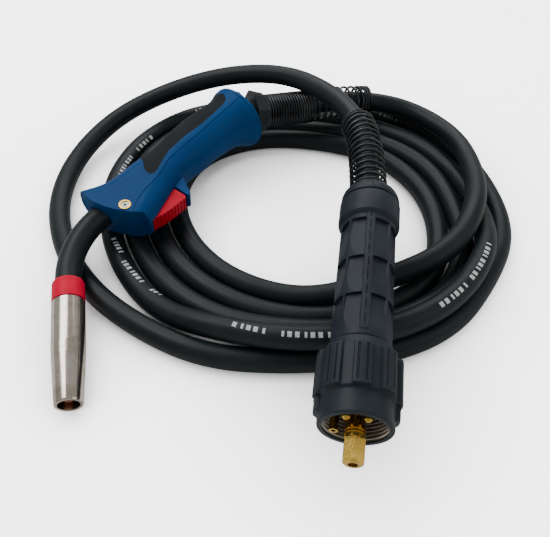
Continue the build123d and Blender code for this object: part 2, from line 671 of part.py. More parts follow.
# wire liner: coiled steel conduit held by the nut, shown as its closed tube
with BuildPart() as wire_liner:
    with BuildSketch(Plane.XY.offset(3.2)):
        Circle(3.4)
        Circle(1.0, mode=Mode.SUBTRACT)
    extrude(amount=1.8)
    with BuildSketch(Plane.XY.offset(5.0)):
        Circle(1.95)
        Circle(1.0, mode=Mode.SUBTRACT)
    extrude(amount=85)
finish(wire_liner.part, "wire_liner", PLUG)

PIN_AT = ((8.0, -5.3), (8.0, 5.3))                        # control pins, in PLUG x-y
NIPPLE_AT = (-5.6, -10.2)
with BuildPart() as insulator_disc:
    with BuildSketch(Plane.XY.offset(36.2)):
        Circle(15.6)
        Circle(6.45, mode=Mode.SUBTRACT)
        with Locations(*PIN_AT):
            Circle(2.0 + FIT, mode=Mode.SUBTRACT)
        with Locations(NIPPLE_AT):
            Circle(3.05, mode=Mode.SUBTRACT)
    extrude(amount=7.8)
    with BuildSketch(Plane.XY.offset(44.0)):             # sleeve that the hand wheel turns on
        Circle(13.0)
        Circle(11.2, mode=Mode.SUBTRACT)
        with Locations(*PIN_AT):
            Circle(2.8, mode=Mode.SUBTRACT)
    extrude(amount=17.8)
    with BuildSketch(Plane.XY.offset(54.0)):
        Circle(15.5)
        Circle(12.6, mode=Mode.SUBTRACT)
    extrude(amount=3.4)
finish(insulator_disc.part, "insulator_disc", PLUG)

with BuildPart() as plug_body:                            # brass block: current and gas
    with BuildSketch(Plane.XY.offset(44.1)):
        Circle(11.1)
        Circle(2.0, mode=Mode.SUBTRACT)
        with Locations(*PIN_AT):
            Circle(3.2, mode=Mode.SUBTRACT)
    extrude(amount=19)
    with BuildSketch(Plane.XY.offset(63.1)):
        Circle(9.0)
        Circle(2.0, mode=Mode.SUBTRACT)
        with Locations(*PIN_AT):
            Circle(3.2, mode=Mode.SUBTRACT)
    extrude(amount=36.9)
    with BuildSketch(Plane.XY.offset(100.0)):
        Circle(7.5)
        Circle(2.0, mode=Mode.SUBTRACT)
    extrude(amount=52.0)
finish(plug_body.part, "plug_body", PLUG)

with BuildPart() as crimp_ferrule:                        # joins the cable to the block's shank
    with BuildSketch(Plane.XZ):
        with BuildLine():
            Polyline((7.55, 132.0), (9.7, 132.0), (10.1, 132.6), (10.1, 163.0), (9.9, 164.0), (8.75, 164.0), (8.75, 152.3), (7.55, 152.3), close=True)
        make_face()
    revolve(axis=Axis.Z)
finish(crimp_ferrule.part, "crimp_ferrule", PLUG)

with BuildPart() as gas_nipple:
    with BuildSketch(Plane.XY.offset(18.0)):
        with Locations(NIPPLE_AT):
            Circle(2.3)
            Circle(1.2, mode=Mode.SUBTRACT)
    extrude(amount=26.0)
    with BuildSketch(Plane.XY.offset(33.0)):
        with Locations(NIPPLE_AT):
            Circle(3.0)
            Circle(1.2, mode=Mode.SUBTRACT)
    extrude(amount=11.0)
finish(gas_nipple.part, "gas_nipple", PLUG)

for number, spot in enumerate(PIN_AT, 1):
    with BuildPart() as control_pin:
        with BuildSketch(Plane.XZ):
            with BuildLine():
                Polyline((0, 18.6), (1.3, 18.6), (2.0, 19.4), (2.0, 48.6), (0, 48.6), close=True)
            make_face()
        revolve(axis=Axis.Z)
    placed_pin = control_pin.part.moved(Location((spot[0], spot[1], 0)))
    finish(placed_pin, "control_pin_%d" % number, PLUG)

with BuildPart() as pin_springs:                          # closed-coil springs behind the two pins
    for spot in PIN_AT:
        with BuildSketch(Plane.XY.offset(51.7)):
            with Locations(spot):
                Circle(2.6)
                Circle(1.8, mode=Mode.SUBTRACT)
        extrude(amount=10.0)
finish(pin_springs.part, "pin_springs", PLUG)

# hand wheel: smooth collar, grip ring with lobes, free on the housing's neck
with BuildPart() as handwheel:
    with BuildSketch(Plane.XZ):
        with BuildLine():
            Polyline(
                (COLLAR_BORE_R, 17.5), (18.3, 17.5), (WHEEL_COLLAR_OD / 2, 18.4), (WHEEL_COLLAR_OD / 2, 36.0), (20.4, 38.0),
                (20.4, 59.0), (19.4, 60.6), (13.0 + FIT, 60.6), (13.0 + FIT, 57.6), (16.0, 57.6), (16.0, 33.2), (17.5, 33.2),
                (17.5, 18.7), (COLLAR_BORE_R, 18.7), close=True)
        make_face()
    revolve(axis=Axis.Z)
    with BuildSketch(Plane.XY.offset(37.4)):
        with PolarLocations(0, 9):
            Polygon((19.6, -6.0), (21.6, -5.2), (WHEEL_GRIP_OD / 2 - 0.1, -3.4), (WHEEL_GRIP_OD / 2 - 0.1, 3.4), (21.6, 5.2), (19.6, 6.0), align=None)
    extrude(amount=21.6)
    with BuildSketch(Plane.XY.offset(28.0)):             # two wings that reach forward along the collar
        with PolarLocations(0, 2, start_angle=90):
            Polygon((18.2, -5.0), (21.4, -4.0), (21.4, 4.0), (18.2, 5.0), align=None)
    extrude(amount=12.0)
finish(handwheel.part, "handwheel", PLUG)

# metal thread insert pressed into the wheel
with BuildPart() as thread_insert:
    with BuildSketch(Plane.XZ):
        with BuildLine():
            points = [(17.45, 18.8)]
            points += [(17.45, 33.1), (16.9, 33.1)]
            z = 32.6
            while z > 20.0:
                points += [(16.9, z), (THREAD_CREST_R, z - 0.6), (THREAD_CREST_R, z - 0.9), (16.9, z - 1.5)]
                z -= 2.0
            points += [(16.6, 18.8)]
            Polyline(*points, close=True)
        make_face()
    revolve(axis=Axis.Z)
finish(thread_insert.part, "thread_insert", PLUG)

# housing: two half shells, parted along the rib on top; three rows of recessed panels
def housing_half(side, name):
    with BuildPart() as shell:
        with BuildSketch(Plane.XZ):
            with BuildLine():
                Polyline(
                    (11.3, 62.2), (13.1, 62.2), (13.1, 61.4), (HOUSING_OD / 2 - 0.4, 61.4), (HOUSING_OD / 2, 61.8),
                    (HOUSING_OD / 2, 144.5), (FLARE_OD / 2 - 0.6, 146.5), (FLARE_OD / 2, 148.0), (FLARE_OD / 2, 163.4), (FLARE_OD / 2 - 0.6, 164.2),
                    (14.2, 164.2), (14.2, 158.0), (HOUSING_OD / 2 - HOUSING_WALL, 150.0), (HOUSING_OD / 2 - HOUSING_WALL, 66.0), (11.3, 66.0), close=True)
            make_face()
        revolve(axis=Axis.Z, revolution_arc=180)
        # recessed panels between the ribs
        for low, high in ((73.0, 93.0), (97.5, 119.5), (124.0, 143.0)):
            with BuildSketch(Plane.XY.offset(low)):
                with PolarLocations(0, 8, start_angle=22.5):
                    Polygon((HOUSING_OD / 2 - 1.3, -4.7), (HOUSING_OD / 2 + 3, -5.5), (HOUSING_OD / 2 + 3, 5.5), (HOUSING_OD / 2 - 1.3, 4.7), align=None)
            extrude(amount=high - low, mode=Mode.SUBTRACT)
    part = shell.part if side > 0 else shell.part.rotate(Axis.Z, 180)
    return part


finish(housing_half(1, "a"), "plug_housing_left", PLUG)
finish(housing_half(-1, "b"), "plug_housing_right", PLUG)

# cap at the back, with the dome that the spring comes out of
with BuildPart() as relief_cap:
    with BuildSketch(Plane.XZ):
        with BuildLine():
            Polyline((13.3, 160.0), (14.0, 160.0), (14.0, 164.6), (18.0, 164.6), (18.0, 166.0), (17.2, 170.5), (15.9, 174.5), (14.3, 177.6), (12.8, 178.4), (12.8, 174.0), (13.3, 173.0), close=True)
        make_face()
    revolve(axis=Axis.Z)
finish(relief_cap.part, "relief_cap", PLUG)

# spring at the plug (frame RELIEF): its foot sits inside the cap
finish(coil_spring([(-5.4, -5.4 + 13 * 5.55, 5.55)], SPRING_MEAN_R, SPRING_WIRE), "plug_spring", RELIEF)
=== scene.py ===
import bpy, bmesh, json, math, random
from math import sin, cos, pi, radians, sqrt
from mathutils import Vector, Matrix


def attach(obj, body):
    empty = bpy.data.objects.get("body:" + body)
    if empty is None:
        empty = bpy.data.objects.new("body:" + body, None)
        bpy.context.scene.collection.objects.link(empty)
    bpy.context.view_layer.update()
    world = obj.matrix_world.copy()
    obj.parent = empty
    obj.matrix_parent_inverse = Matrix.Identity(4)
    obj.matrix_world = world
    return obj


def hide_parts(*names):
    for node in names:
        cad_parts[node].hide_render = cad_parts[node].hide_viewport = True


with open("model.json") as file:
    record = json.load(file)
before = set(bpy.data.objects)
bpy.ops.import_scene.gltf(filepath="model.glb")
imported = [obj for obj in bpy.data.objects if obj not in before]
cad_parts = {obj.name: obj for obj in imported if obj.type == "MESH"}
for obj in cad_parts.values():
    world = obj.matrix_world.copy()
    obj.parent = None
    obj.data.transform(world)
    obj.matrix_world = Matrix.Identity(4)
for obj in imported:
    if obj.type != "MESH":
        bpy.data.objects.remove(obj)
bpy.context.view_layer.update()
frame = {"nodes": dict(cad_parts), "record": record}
nodes = frame["nodes"]
random.seed(7)
MM = 0.001

# ---------------------------------------------------------------- camera, floor, light
scene = bpy.context.scene
cam_data = bpy.data.cameras.new("camera")
cam_data.lens = 41.695
cam_data.sensor_width = 36.0
cam_data.sensor_fit = "HORIZONTAL"
cam_data.clip_start = 0.01
cam = bpy.data.objects.new("camera", cam_data)
cam.location = (0.03104, -0.34266, 0.31)
cam.rotation_euler = (radians(45.0), 0.0, 0.0)
scene.collection.objects.link(cam)
scene.camera = cam

world = bpy.data.worlds.new("studio")
world.use_nodes = True
bg = world.node_tree.nodes["Background"]
bg.inputs["Color"].default_value = (1.0, 1.0, 1.0, 1.0)
wt = world.node_tree
seen_bg = wt.nodes.new("ShaderNodeLightPath")                # the studio's wall is as pale as its floor
lift = wt.nodes.new("ShaderNodeMath")
lift.operation = "MULTIPLY_ADD"
lift.inputs[1].default_value = 3.6
lift.inputs[2].default_value = 0.34
wt.links.new(seen_bg.outputs["Is Camera Ray"], lift.inputs[0])
wt.links.new(lift.outputs[0], bg.inputs["Strength"])
scene.world = world


def area(name, loc, target, size, power, shape="RECTANGLE", size_y=None, color=(1, 1, 1)):
    data = bpy.data.lights.new(name, "AREA")
    data.shape = shape
    data.size = size
    if size_y is not None:
        data.size_y = size_y
    data.energy = power
    data.color = color
    ob = bpy.data.objects.new(name, data)
    ob.location = loc
    ob.rotation_euler = (Vector(target) - Vector(loc)).to_track_quat("-Z", "Y").to_euler()
    scene.collection.objects.link(ob)
    return ob


area("key", (-0.55, 0.35, 1.15), (0, 0, 0), 0.9, 7.6, size_y=0.7)
area("back_top", (0.15, 1.15, 0.9), (0, 0.05, 0), 1.3, 6.2, size_y=0.5)
area("fill_right", (1.1, -0.3, 0.7), (0.05, 0, 0), 0.8, 1.6, size_y=0.8)

floor_mesh = bpy.data.meshes.new("floor")
floor_mesh.from_pydata([(-6, -3, -0.0005), (6, -3, -0.0005), (6, 9, -0.0005), (-6, 9, -0.0005)], [], [(0, 1, 2, 3)])
floor = bpy.data.objects.new("floor", floor_mesh)
scene.collection.objects.link(floor)


# ---------------------------------------------------------------- materials
def new_mat(name):
    m = bpy.data.materials.new(name)
    m.use_nodes = True
    nt = m.node_tree
    return m, nt, nt.nodes["Principled BSDF"]


def node(nt, kind, **props):
    n = nt.nodes.new(kind)
    for k, v in props.items():
        setattr(n, k, v)
    return n


def coords(nt, scale=(1, 1, 1)):
    tc = node(nt, "ShaderNodeTexCoord")
    mp = node(nt, "ShaderNodeMapping")
    mp.inputs["Scale"].default_value = scale
    nt.links.new(tc.outputs["Object"], mp.inputs["Vector"])
    return mp.outputs["Vector"]


def noise(nt, vec, scale, detail=3.0, rough=0.5, distort=0.0):
    n = node(nt, "ShaderNodeTexNoise")
    n.inputs["Scale"].default_value = scale
    n.inputs["Detail"].default_value = detail
    n.inputs["Roughness"].default_value = rough
    n.inputs["Distortion"].default_value = distort
    nt.links.new(vec, n.inputs["Vector"])
    return n.outputs["Fac"]


def ramp(nt, fac, stops):
    r = node(nt, "ShaderNodeValToRGB")
    el = r.color_ramp.elements
    while len(el) < len(stops):
        el.new(0.5)
    for e, (p, c) in zip(el, stops):
        e.position = p
        e.color = (*c, 1.0) if len(c) == 3 else c
    nt.links.new(fac, r.inputs["Fac"])
    return r.outputs["Color"]


def mathn(nt, op, a, b=None, clamp=False):
    n = node(nt, "ShaderNodeMath", operation=op)
    n.use_clamp = clamp
    for i, v in enumerate((a, b)):
        if v is None:
            continue
        if isinstance(v, (int, float)):
            n.inputs[i].default_value = v
        else:
            nt.links.new(v, n.inputs[i])
    return n.outputs[0]


def mix(nt, fac, a, b, blend="MIX"):
    n = node(nt, "ShaderNodeMix", data_type="RGBA", blend_type=blend)
    if isinstance(fac, (int, float)):
        n.inputs[0].default_value = fac
    else:
        nt.links.new(fac, n.inputs[0])
    for i, v in ((6, a), (7, b)):
        if isinstance(v, tuple):
            n.inputs[i].default_value = (*v, 1.0) if len(v) == 3 else v
        else:
            nt.links.new(v, n.inputs[i])
    return n.outputs[2]


def bump(nt, bsdf, height, strength, distance, normal=None):
    b = node(nt, "ShaderNodeBump")
    b.inputs["Strength"].default_value = strength
    b.inputs["Distance"].default_value = distance
    nt.links.new(height, b.inputs["Height"])
    if normal is not None:
        nt.links.new(normal, b.inputs["Normal"])
    nt.links.new(b.outputs["Normal"], bsdf.inputs["Normal"])
    return b.outputs["Normal"]


def edges(nt, low=0.52, high=0.6):
    """Worn, paler convex edges."""
    g = node(nt, "ShaderNodeNewGeometry")
    return ramp(nt, g.outputs["Pointiness"], [(low, (0, 0, 0)), (high, (1, 1, 1))])


def plastic(name, dark, base, light, rough=(0.3, 0.45), grain=2200.0, grain_depth=0.00003, blotch=28.0, wear=0.25, wear_color=None, spec=0.5, coat=0.0):
    m, nt, b = new_mat(name)
    v = coords(nt)
    big = noise(nt, v, blotch, 4.0, 0.6)
    fine = noise(nt, v, grain, 2.0, 0.6)
    col = ramp(nt, big, [(0.3, dark), (0.52, base), (0.75, light)])
    wc = wear_color if wear_color else tuple(min(1.0, c * 2.0 + 0.02) for c in light)
    e = edges(nt)
    scr = noise(nt, coords(nt, (1.0, 0.25, 1.0)), 420.0, 4.0, 0.7)
    scr = ramp(nt, scr, [(0.62, (0, 0, 0)), (0.72, (1, 1, 1))])
    emask = mathn(nt, "MULTIPLY", e, wear)
    col = mix(nt, emask, col, wc)
    smask = mathn(nt, "MULTIPLY", scr, 0.10)
    col = mix(nt, smask, col, wc)
    nt.links.new(col, b.inputs["Base Color"])
    r = ramp(nt, big, [(0.3, (rough[0],) * 3), (0.7, (rough[1],) * 3)])
    nt.links.new(r, b.inputs["Roughness"])
    b.inputs["Specular IOR Level"].default_value = spec
    if coat:
        b.inputs["Coat Weight"].default_value = coat
        b.inputs["Coat Roughness"].default_value = 0.2
    bump(nt, b, fine, 0.35, grain_depth)
    return m


def metal(name, dark, base, light, rough=(0.22, 0.4), axis=None, streak=900.0, stain=None, stain_amount=0.4, depth=0.00002):
    """Turned or drawn metal: fine streaks across axis, stains and handling marks."""
    m, nt, b = new_mat(name)
    v = coords(nt)
    if axis is None:
        fine = noise(nt, v, streak, 3.0, 0.7)
    else:
        tc = node(nt, "ShaderNodeTexCoord")
        dotn = node(nt, "ShaderNodeVectorMath", operation="DOT_PRODUCT")
        nt.links.new(tc.outputs["Object"], dotn.inputs[0])
        dotn.inputs[1].default_value = axis
        comb = node(nt, "ShaderNodeCombineXYZ")
        nt.links.new(dotn.outputs["Value"], comb.inputs["X"])
        fine = noise(nt, comb.outputs["Vector"], streak * 3.0, 3.0, 0.8)
    big = noise(nt, v, 60.0, 4.0, 0.65)
    col = ramp(nt, big, [(0.3, dark), (0.5, base), (0.72, light)])
    col = mix(nt, mathn(nt, "MULTIPLY", fine, 0.35), col, dark)
    if stain:
        st = ramp(nt, noise(nt, v, 130.0, 5.0, 0.7, 1.0), [(0.52, (0, 0, 0)), (0.7, (1, 1, 1))])
        col = mix(nt, mathn(nt, "MULTIPLY", st, stain_amount), col, stain)
    nt.links.new(col, b.inputs["Base Color"])
    b.inputs["Metallic"].default_value = 1.0
    rr = ramp(nt, fine, [(0.3, (rough[0],) * 3), (0.7, (rough[1],) * 3)])
    nt.links.new(rr, b.inputs["Roughness"])
    bump(nt, b, fine, 0.3, depth)
    return m


def rubber(name, dark, base, light, rough=(0.42, 0.6), grain=1500.0, sheen=0.0, blotch=22.0, depth=0.00004, spec=0.45):
    m, nt, b = new_mat(name)
    v = coords(nt)
    big = noise(nt, v, blotch, 5.0, 0.65)
    fine = noise(nt, v, grain, 3.0, 0.7)
    dust = ramp(nt, noise(nt, v, 340.0, 6.0, 0.8), [(0.6, (0, 0, 0)), (0.78, (1, 1, 1))])
    col = ramp(nt, big, [(0.3, dark), (0.5, base), (0.72, light)])
    col = mix(nt, mathn(nt, "MULTIPLY", dust, 0.12), col, tuple(min(1.0, c * 2.5 + 0.03) for c in light))
    nt.links.new(col, b.inputs["Base Color"])
    nt.links.new(ramp(nt, big, [(0.3, (rough[0],) * 3), (0.7, (rough[1],) * 3)]), b.inputs["Roughness"])
    b.inputs["Specular IOR Level"].default_value = spec
    if sheen:
        b.inputs["Sheen Weight"].default_value = sheen
        b.inputs["Sheen Roughness"].default_value = 0.4
    bump(nt, b, fine, 0.4, depth)
    return m


m_floor, nt, b = new_mat("floor_paint")
v = coords(nt)
nt.links.new(ramp(nt, noise(nt, v, 3.0), [(0.3, (0.86, 0.86, 0.862)), (0.7, (0.9, 0.9, 0.9))]), b.inputs["Base Color"])
b.inputs["Roughness"].default_value = 0.9
b.inputs["Specular IOR Level"].default_value = 0.1
b.inputs["Emission Color"].default_value = (1.0, 1.0, 1.0, 1.0)
seen = node(nt, "ShaderNodeLightPath")                       # pale studio floor that glows for the camera only, with painted shade from ambient occlusion darkening it near and between the cable strands
# ambient occlusion that paints shade on the floor near and between the strands
painted_shade_ao = node(nt, "ShaderNodeAmbientOcclusion")
painted_shade_ao.samples = 8
painted_shade_ao.inputs["Distance"].default_value = 0.09
shade = mathn(nt, "POWER", painted_shade_ao.outputs["AO"], 1.6)
nt.links.new(mathn(nt, "MULTIPLY", seen.outputs["Is Camera Ray"], mathn(nt, "MULTIPLY", shade, 3.9)), b.inputs["Emission Strength"])
floor.data.materials.append(m_floor)

NOZ_D = Vector((0.18501, -0.967805, -0.170661))
PLUG_U = Vector((0.13878, 0.982955, 0.120582))
MATS = {
    "shell_blue": plastic("blue_shell", (0.0, 0.056, 0.2), (0.0, 0.068, 0.235), (0.0, 0.08, 0.265), (0.4, 0.48), 1800.0, 0.00002, 14.0, 0.08, (0.01, 0.14, 0.36), 0.12),
    "grip_rubber": rubber("soft_grip", (0.012, 0.015, 0.018), (0.016, 0.021, 0.025), (0.022, 0.028, 0.033), (0.6, 0.72), 2600.0, 0.0, 30.0, 0.00006, 0.12),
    "trigger_red": plastic("red_trigger", (0.6, 0.0, 0.018), (0.74, 0.0, 0.026), (0.82, 0.0, 0.034), (0.36, 0.45), 2000.0, 0.00002, 60.0, 0.1, (0.9, 0.05, 0.1), 0.12),
    "insulator_red": plastic("red_ring", (0.85, 0.0, 0.04), (1.0, 0.0, 0.055), (1.0, 0.0, 0.07), (0.36, 0.45), 2200.0, 0.00002, 80.0, 0.08, (1.0, 0.06, 0.14), 0.12),
    "brass_bright": metal("brass", (0.68, 0.4, 0.06), (0.92, 0.6, 0.12), (1.0, 0.7, 0.2), (0.12, 0.24), None, 700.0, (0.45, 0.26, 0.06), 0.12),
    "screw_steel": metal("zinc_steel", (0.35, 0.35, 0.34), (0.6, 0.6, 0.58), (0.72, 0.72, 0.7), (0.25, 0.4), None, 1300.0),
    "nozzle_nickel": metal("satin_nozzle", (0.5, 0.42, 0.34), (0.84, 0.76, 0.65), (0.96, 0.9, 0.81), (0.12, 0.25), tuple(NOZ_D), 900.0, (0.45, 0.36, 0.27), 0.28),
    "neck_black": rubber("neck_cover", (0.01, 0.016, 0.018), (0.016, 0.023, 0.026), (0.025, 0.034, 0.038), (0.38, 0.5), 1500.0, 0.0, 40.0, 0.00003, 0.3),
    "ceramic_white": plastic("fired_ceramic", (0.6, 0.55, 0.47), (0.75, 0.7, 0.62), (0.82, 0.78, 0.7), (0.6, 0.75), 1500.0, 0.00004, 90.0, 0.1),
    "copper": metal("turned_copper", (0.4, 0.16, 0.08), (0.72, 0.34, 0.2), (0.85, 0.46, 0.3), (0.25, 0.42), tuple(NOZ_D), 1700.0, (0.2, 0.08, 0.05), 0.5),
    "black_plastic": plastic("black_moulding", (0.008, 0.01, 0.012), (0.014, 0.017, 0.02), (0.024, 0.028, 0.032), (0.35, 0.5), 1900.0, 0.00004, 50.0, 0.3, (0.09, 0.1, 0.11), 0.45),
    "wheel_grey": plastic("wheel_moulding", (0.012, 0.018, 0.025), (0.018, 0.027, 0.036), (0.03, 0.04, 0.052), (0.42, 0.55), 1600.0, 0.00005, 45.0, 0.35, (0.1, 0.12, 0.135), 0.3),
    "housing_slate": plastic("slate_moulding", (0.011, 0.016, 0.023), (0.019, 0.027, 0.038), (0.032, 0.042, 0.055), (0.42, 0.55), 1500.0, 0.00005, 35.0, 0.3, (0.08, 0.1, 0.12), 0.3),
    "cable_jacket": rubber("jacket", (0.006, 0.011, 0.013), (0.01, 0.016, 0.019), (0.016, 0.024, 0.028), (0.38, 0.52), 1100.0, 0.0, 16.0, 0.00005, 0.3),
    "spring_steel": metal("black_wire", (0.03, 0.032, 0.035), (0.07, 0.074, 0.08), (0.15, 0.155, 0.16), (0.28, 0.42), None, 1500.0),
    "insert_metal": metal("nickel_thread", (0.35, 0.3, 0.22), (0.66, 0.6, 0.5), (0.8, 0.75, 0.65), (0.25, 0.4), tuple(PLUG_U), 1500.0, (0.3, 0.2, 0.1), 0.35),
}
SLOT_OF = {s["node"]: s["material_slot"] for s in frame["record"]["subparts"]}
for name, ob in nodes.items():
    ob.data.materials.clear()
    ob.data.materials.append(MATS[SLOT_OF[name]])

# ---------------------------------------------------------------- cable
ROUTE = [
    (0.012239, 0.098943, 0.041716),
    (0.042953, 0.110683, 0.038085),
    (0.08652, 0.136238, 0.032647),
    (0.138315, 0.140908, 0.024161),
    (0.174582, 0.100637, 0.022319),
    (0.180078, 0.049892, 0.02505),
    (0.171553, 0.00033, 0.030117),
    (0.145388, -0.044982, 0.027997),
    (0.097866, -0.062433, 0.017577),
    (0.048856, -0.070466, 0.0075),
    (-7.8e-05, -0.051688, 0.008342),
    (-0.03221, -0.011798, 0.0075),
    (-0.045753, 0.037754, 0.007651),
    (-0.031029, 0.088189, 0.0075),
    (0.014217, 0.115509, 0.007541),
    (0.065294, 0.112734, 0.007608),
    (0.11329, 0.094246, 0.007505),
    (0.142674, 0.05112, 0.007726),
    (0.149146, 0.000707, 0.007984),
    (0.136368, -0.049744, 0.0075),
    (0.094204, -0.080705, 0.007502),
    (0.043029, -0.086486, 0.0075),
    (-0.00473, -0.067278, 0.0075),
    (-0.040554, -0.030654, 0.0075),
    (-0.058642, 0.017098, 0.0075),
    (-0.061231, 0.068207, 0.0075),
    (-0.035351, 0.114073, 0.007501),
    (0.013743, 0.131693, 0.0075),
    (0.064328, 0.129042, 0.0075),
    (0.113049, 0.114053, 0.007506),
    (0.151039, 0.078521, 0.007507),
    (0.163247, 0.028669, 0.00752),
    (0.163719, -0.022129, 0.0075),
    (0.140961, -0.06879, 0.009834),
    (0.096918, -0.095596, 0.011865),
    (0.046029, -0.101696, 0.014576),
    (-0.002723, -0.087047, 0.008667),
    (-0.042713, -0.055036, 0.0075),
    (-0.067617, -0.0105, 0.007716),
    (-0.078152, 0.039256, 0.0075),
    (-0.071772, 0.090158, 0.007577),
    (-0.039813, 0.1314, 0.007501),
    (0.009358, 0.147218, 0.0075),
    (0.059917, 0.146244, 0.007573),
    (0.109745, 0.135797, 0.0075),
    (0.15184, 0.106031, 0.008024),
    (0.174777, 0.059976, 0.0075),
    (0.180076, 0.009724, 0.012888),
    (0.170824, -0.03951, 0.023543),
    (0.141511, -0.081896, 0.022516),
    (0.097375, -0.107909, 0.023301),
    (0.046558, -0.114503, 0.024061),
    (-0.002634, -0.102223, 0.018736),
    (-0.04535, -0.07646, 0.0075),
    (-0.07486, -0.03434, 0.008346),
    (-0.091061, 0.013625, 0.0075),
    (-0.093602, 0.064603, 0.007638),
    (-0.078648, 0.113396, 0.0075),
    (-0.043876, 0.151929, 0.007525),
    (0.006188, 0.164463, 0.0075),
    (0.056675, 0.162149, 0.007503),
    (0.106833, 0.156505, 0.0075),
    (0.154565, 0.13662, 0.007501),
    (0.182082, 0.092643, 0.0075),
    (0.194254, 0.043741, 0.0075),
    (0.193569, -0.007709, 0.0075),
    (0.169713, -0.052755, 0.0075),
    (0.13799, -0.092723, 0.007501),
    (0.090454, -0.112822, 0.0075),
    (0.040265, -0.117601, 0.007504),
    (-0.010759, -0.113971, 0.0075),
    (-0.055648, -0.08965, 0.007527),
    (-0.093446, -0.055741, 0.0075),
    (-0.119455, -0.012011, 0.007735),
    (-0.132813, 0.037215, 0.0075),
    (-0.127096, 0.087902, 0.011497),
    (-0.101017, 0.131745, 0.019819),
    (-0.056111, 0.15441, 0.031653),
    (-0.006424, 0.154694, 0.045338),
    (0.04105, 0.135338, 0.055935),
    (0.074246, 0.096739, 0.059836),
    (0.091709, 0.050718, 0.062492),
    (0.092641, 0.001737, 0.060829),
    (0.088551, -0.046402, 0.05639),
]


def nurbs(name, points, radius):
    cu = bpy.data.curves.new(name, "CURVE")
    cu.dimensions = "3D"
    sp = cu.splines.new("NURBS")
    sp.points.add(len(points) - 1)
    for p, q in zip(sp.points, points):
        p.co = (q[0], q[1], q[2], 1.0)
    sp.use_endpoint_u = True
    sp.order_u = 3
    sp.resolution_u = 12
    cu.bevel_depth = radius
    cu.bevel_resolution = 10
    cu.use_fill_caps = True
    ob = bpy.data.objects.new(name, cu)
    scene.collection.objects.link(ob)
    return ob


cable = nurbs("cable", ROUTE, 0.0075)
cable.data.materials.append(MATS["cable_jacket"])
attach(cable, "torch")
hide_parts("cable_coil", "cable_free_loop")
PLUG_NODES = ["liner_nut", "guide_spigot", "spigot_o_rings", "wire_liner", "insulator_disc", "plug_body", "crimp_ferrule", "gas_nipple",
              "control_pin_1", "control_pin_2", "pin_springs", "handwheel", "thread_insert", "plug_housing_left", "plug_housing_right", "relief_cap", "plug_spring"]
on_cable = [nodes[n] for n in PLUG_NODES]


# ---------------------------------------------------------------- frames of the object's parts
class Frame:
    """origin in metres and three axes; at() takes millimetres."""

    def __init__(self, origin, x, z):
        self.o = Vector(origin)
        self.z = Vector(z).normalized()
        self.x = Vector(x)
        self.x = (self.x - self.z * self.x.dot(self.z)).normalized()
        self.y = self.z.cross(self.x)

    def at(self, a, b, c):
        return self.o + (self.x * a + self.y * b + self.z * c) * MM


TORCH = Frame((-0.00016, 0.09314, 0.04285), (0.628602, 0.772302, 0.0917), (0.056452, -0.162906, 0.985025))
TAIL = Frame((0.001097, 0.094685, 0.043033), (0.168451, -0.117744, 0.978652), (0.917645, 0.381268, -0.112079))
NOZZLE = Frame((-0.095406, -0.082015, 0.019341), (0.056452, -0.162906, 0.985025), (0.18501, -0.967805, -0.170661))
PLUG = Frame((0.06704, -0.19876, 0.0377), (-0.000198, -0.121733, 0.992563), (0.13878, 0.982955, 0.120582))


def mesh_piece(name, verts, faces, material, body, smooth=35.0, replace=(), on_plug=False):
    me = bpy.data.meshes.new(name)
    me.from_pydata([tuple(v) for v in verts], [], faces)
    me.validate()
    bm = bmesh.new()
    bm.from_mesh(me)
    bmesh.ops.recalc_face_normals(bm, faces=bm.faces)
    bm.to_mesh(me)
    bm.free()
    me.polygons.foreach_set("use_smooth", [True] * len(me.polygons))
    me.set_sharp_from_angle(angle=radians(smooth))
    me.materials.append(material)
    ob = bpy.data.objects.new(name, me)
    scene.collection.objects.link(ob)
    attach(ob, body)
    if replace:
        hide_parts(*replace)
    if on_plug:
        on_cable.append(ob)
    return ob


def turned(fr, rings, count=128, radius=None, close=True):
    """Rings (s, r) about a frame's z; radius(theta, s, r) can shape them. close joins last ring to first."""
    verts, faces = [], []
    for s, r in rings:
        for k in range(count):
            t = 2 * pi * k / count
            q = r if radius is None else radius(t, s, r)
            verts.append(fr.at(q * cos(t), q * sin(t), s))
    n = len(rings)
    for i in range(n if close else n - 1):
        j = (i + 1) % n
        for k in range(count):
            l = (k + 1) % count
            faces.append((i * count + k, i * count + l, j * count + l, j * count + k))
    return verts, faces


def curve_wire(name, points, radius, material, body, replace=(), on_plug=False, res=5):
    """Round wire along points, as a mesh tube."""
    cu = bpy.data.curves.new(name, "CURVE")
    cu.dimensions = "3D"
    sp = cu.splines.new("POLY")
    sp.points.add(len(points) - 1)
    for p, q in zip(sp.points, points):
        p.co = (q[0], q[1], q[2], 1.0)
    cu.bevel_depth = radius
    cu.bevel_resolution = res
    cu.use_fill_caps = True
    tmp = bpy.data.objects.new(name + "_line", cu)
    scene.collection.objects.link(tmp)
    me = bpy.data.meshes.new_from_object(tmp)
    bpy.data.objects.remove(tmp)
    bpy.data.curves.remove(cu)
    me.name = name
    me.materials.clear()
    me.materials.append(material)
    me.polygons.foreach_set("use_smooth", [True] * len(me.polygons))
    ob = bpy.data.objects.new(name, me)
    scene.collection.objects.link(ob)
    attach(ob, body)
    if replace:
        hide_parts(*replace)
    if on_plug:
        on_cable.append(ob)
    return ob


# line of the cable, read from its spline
line_ob = nurbs("line_reader", ROUTE, 0.0)
line_me = bpy.data.meshes.new_from_object(line_ob)
CL = [v.co.copy() for v in line_me.vertices]
bpy.data.meshes.remove(line_me)
bpy.data.objects.remove(line_ob)
CLEN = [0.0]
for a, c in zip(CL, CL[1:]):
    CLEN.append(CLEN[-1] + (c - a).length)


